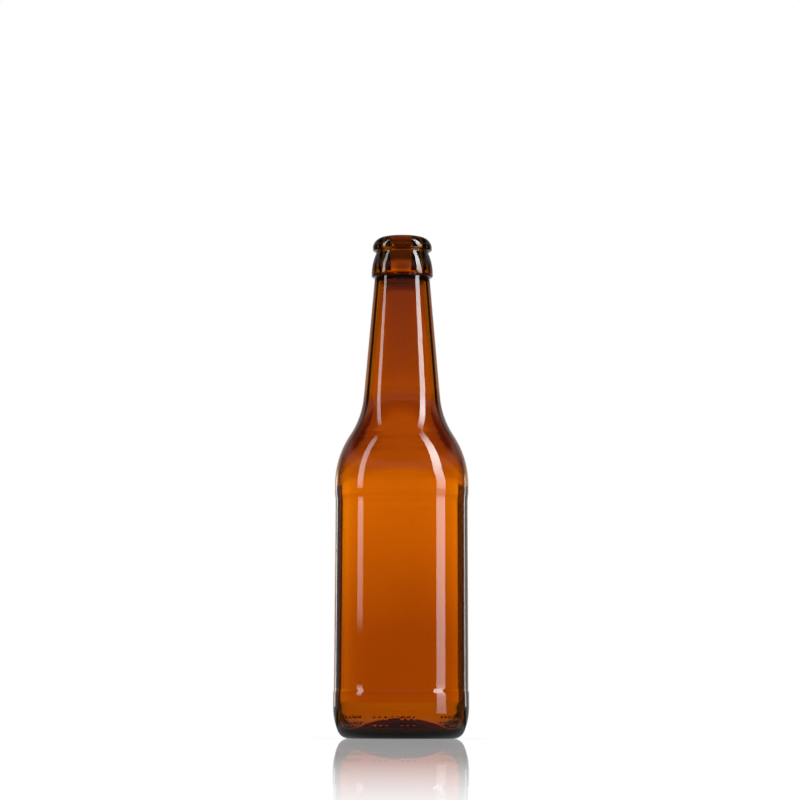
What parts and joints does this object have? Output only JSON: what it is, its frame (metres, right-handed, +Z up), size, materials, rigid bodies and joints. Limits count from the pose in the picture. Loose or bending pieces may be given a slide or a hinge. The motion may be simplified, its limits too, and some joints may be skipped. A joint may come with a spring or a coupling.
{
  "type": "empty long-neck beer bottle of amber glass, with a crown-cork finish and no closure",
  "caption": "Hollow amber glass long-neck bottle: round body, pushed-up base, rounded shoulder, tapering neck and a crown-cork lip, open at the mouth.",
  "frame": {"origin": "middle of the foot, on the plane of the bearing ring", "axes": "+Z up the bottle's axis to the mouth, -Y the front"},
  "size_m": [0.0608, 0.0608, 0.2254],
  "materials": {
    "amber_glass": "clear amber soda-lime glass, fire-polished and glossy"
  },
  "bodies": {
    "root": {"bottle": "amber_glass"}
  },
  "joints": []
}
